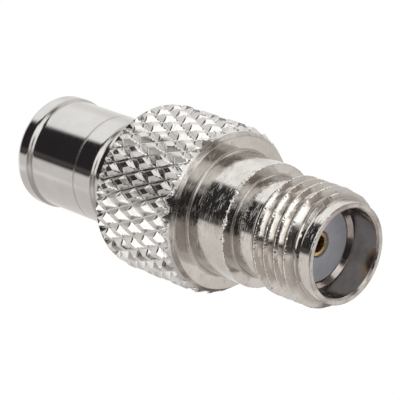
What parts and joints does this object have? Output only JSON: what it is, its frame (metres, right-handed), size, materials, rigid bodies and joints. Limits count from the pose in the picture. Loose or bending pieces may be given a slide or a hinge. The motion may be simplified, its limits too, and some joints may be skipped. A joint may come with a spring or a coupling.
{
  "type": "coax adapter",
  "caption": "Straight coaxial adapter from a threaded jack to a push-on plug, with a turned neck, a diamond-knurled grip and a smooth shell with a lipped rim.",
  "frame": {"origin": "centre of the plug's rim, on the surface it stands on", "axes": "+Z along the adapter's axis, from the plug's rim up to the jack's face"},
  "size_m": [0.0092, 0.0092, 0.0224],
  "materials": {
    "nickel": "brass, nickel plated, bright, with turning marks",
    "nickel_smooth": "brass, nickel plated, smooth and bright",
    "spring_gold": "spring copper alloy, gold plated",
    "ptfe": "white PTFE, matt",
    "contact_gold": "spring copper alloy, gold plated"
  },
  "bodies": {
    "root": {"body": "nickel", "shell": "nickel_smooth", "spring_contact": "spring_gold", "front_insulator": "ptfe", "rear_insulator": "ptfe", "centre_contact": "contact_gold"}
  },
  "joints": []
}
